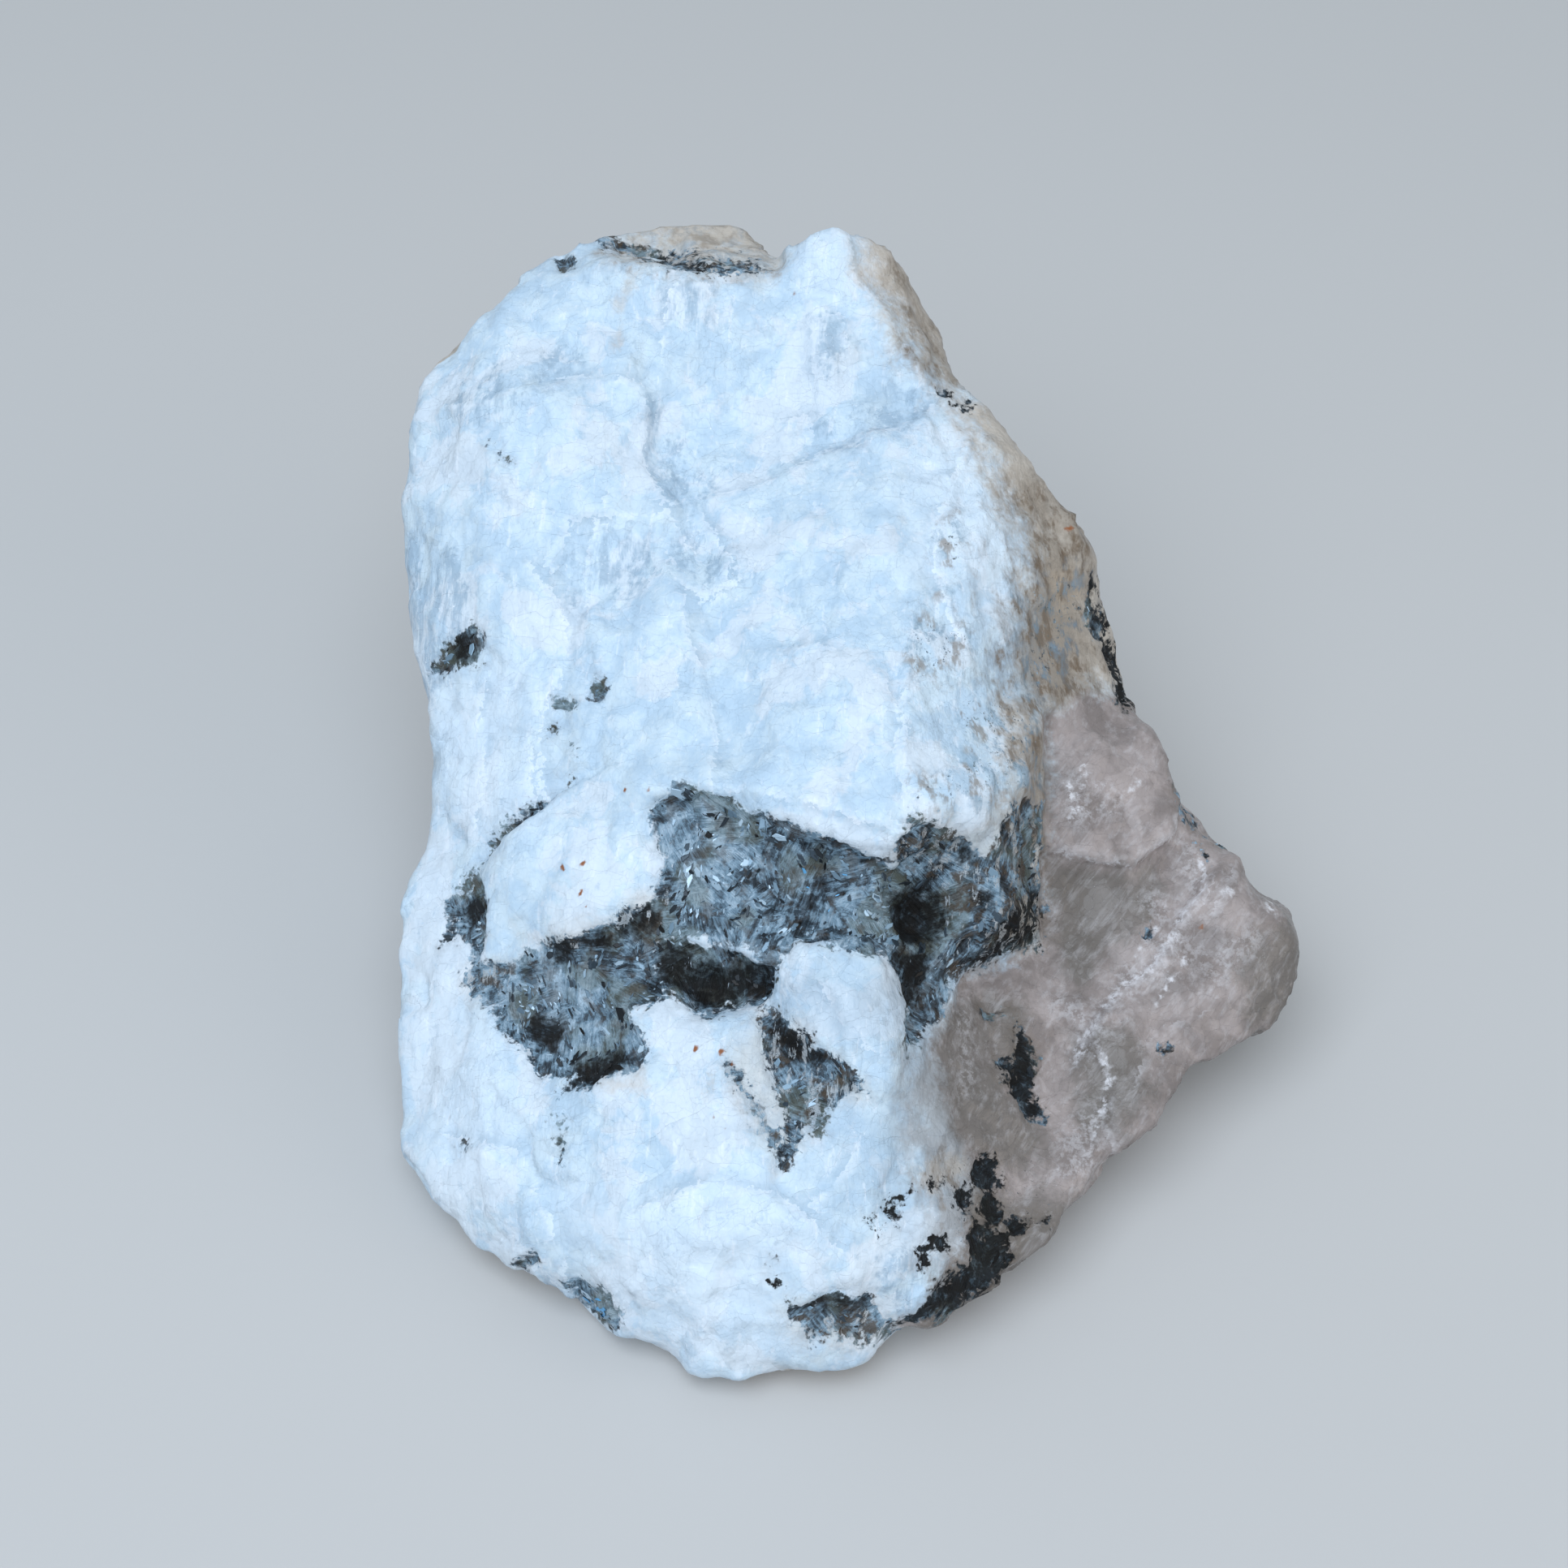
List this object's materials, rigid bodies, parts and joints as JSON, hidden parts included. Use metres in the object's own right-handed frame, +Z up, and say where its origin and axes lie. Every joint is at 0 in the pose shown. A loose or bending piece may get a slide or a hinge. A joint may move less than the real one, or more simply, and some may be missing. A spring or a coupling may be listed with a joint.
{
  "type": "rough moonstone",
  "caption": "rough moonstone: blocky uncut lump of white feldspar with dark flaky mica patches and a grey quartz ledge, wedge-shaped, rests on its flat underside as a specimen",
  "frame": {"origin": "middle of the stone's bounding box in plan, at the flat underside it rests on", "axes": "+Z up, +Y along the stone's length from its low rounded front end to its high back end, +X to the right toward the quartz ledge"},
  "size_m": [0.0836, 0.1052, 0.056],
  "materials": {
    "feldspar": "rough broken stone, waxy on the cleavage faces"
  },
  "bodies": {
    "root": {"moonstone": "feldspar"}
  },
  "joints": []
}
